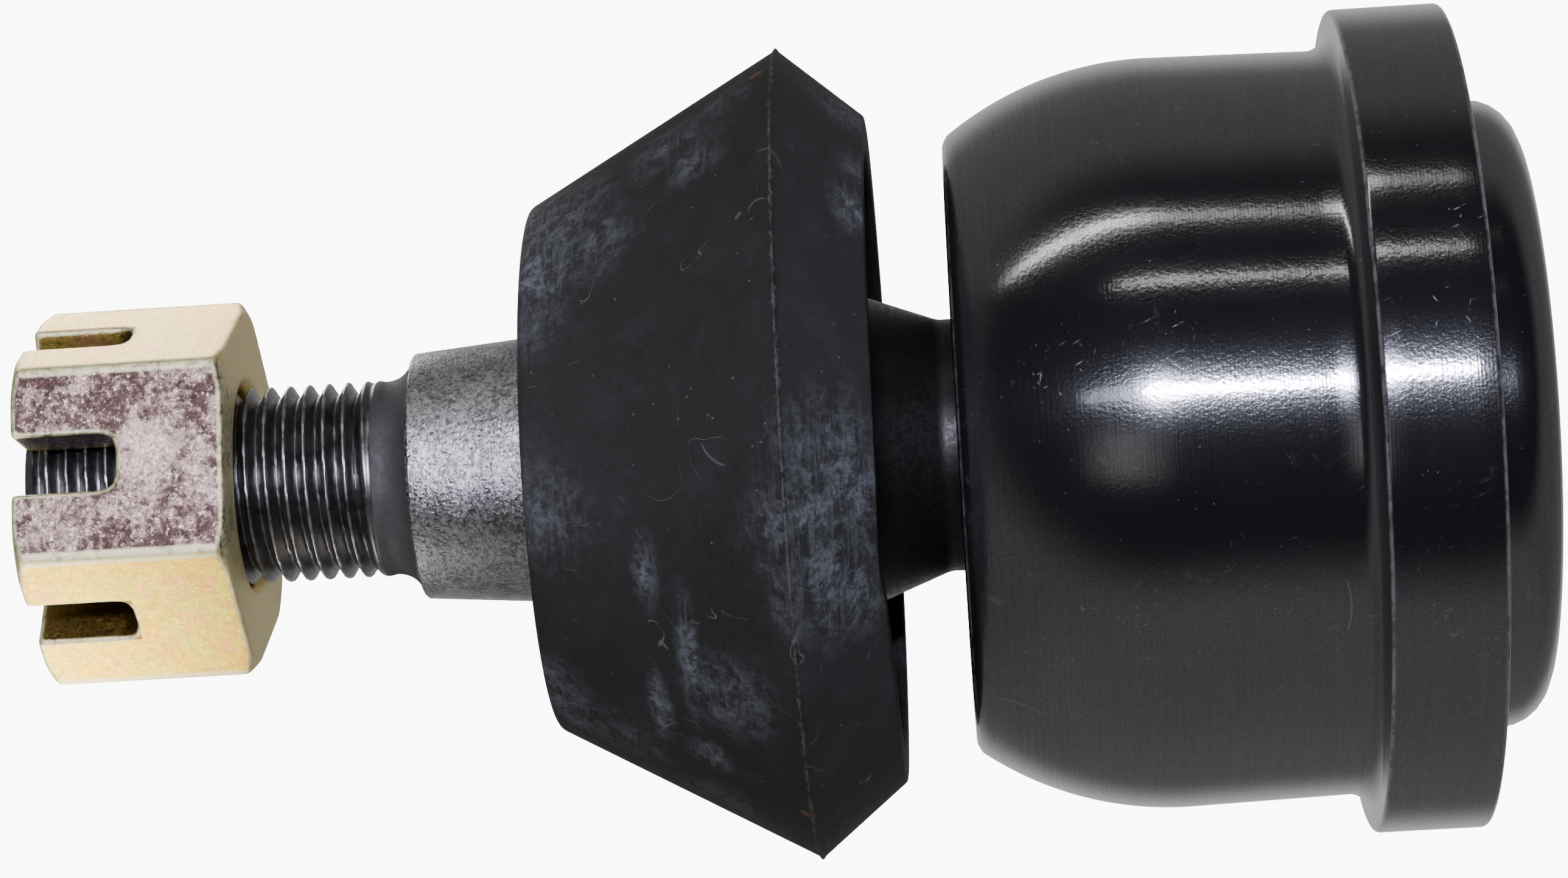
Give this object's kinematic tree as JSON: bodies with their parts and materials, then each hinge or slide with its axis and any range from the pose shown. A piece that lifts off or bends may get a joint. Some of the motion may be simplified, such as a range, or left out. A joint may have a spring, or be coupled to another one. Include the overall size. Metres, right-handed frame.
{
  "type": "suspension ball joint",
  "caption": "Press-in suspension ball joint with a domed flanged housing, tapered threaded stud, rubber dust boot and slotted nut.",
  "frame": {"origin": "centre of the ball, which is also on the press-in barrel's axis", "axes": "+Z along the stud, from the housing to the nut; +X across the stud, the axis that it leans about"},
  "size_m": [0.0584, 0.0584, 0.1065],
  "materials": {
    "housing_black": "gloss black over turned steel",
    "cover_steel": "gloss black",
    "spring_steel": "oiled spring steel",
    "bearing_metal": "sintered, greased",
    "stud_steel": "ground taper, dark oxide thread",
    "boot_rubber": "matte moulded rubber",
    "yellow_zinc": "iridescent yellow zinc plate on steel"
  },
  "bodies": {
    "housing": {"housing": "housing_black", "cover_plate": "cover_steel", "preload_spring": "spring_steel"},
    "bearing": {"lower_bearing": "bearing_metal", "upper_bearing": "bearing_metal"},
    "boot": {"dust_boot": "boot_rubber"},
    "stud": {"ball_stud": "stud_steel"},
    "nut": {"castle_nut": "yellow_zinc"}
  },
  "joints": [
    {"name": "bearing_turn", "type": "hinge", "parent": "housing", "child": "bearing", "pos_m": [0, 0, 0], "axis": [0, 0, 1], "continuous": true},
    {"name": "stud_swing", "type": "hinge", "parent": "bearing", "child": "boot", "pos_m": [0, 0, 0], "axis": [1, 0, 0], "range_deg": [-20, 20]},
    {"name": "stud_spin", "type": "hinge", "parent": "boot", "child": "stud", "pos_m": [0, 0, 0], "axis": [0, 0, 1], "continuous": true},
    {"name": "nut_run", "type": "slide", "parent": "stud", "child": "nut", "axis": [0, 0, 1], "range_m": [-0.009, 0.016]}
  ]
}
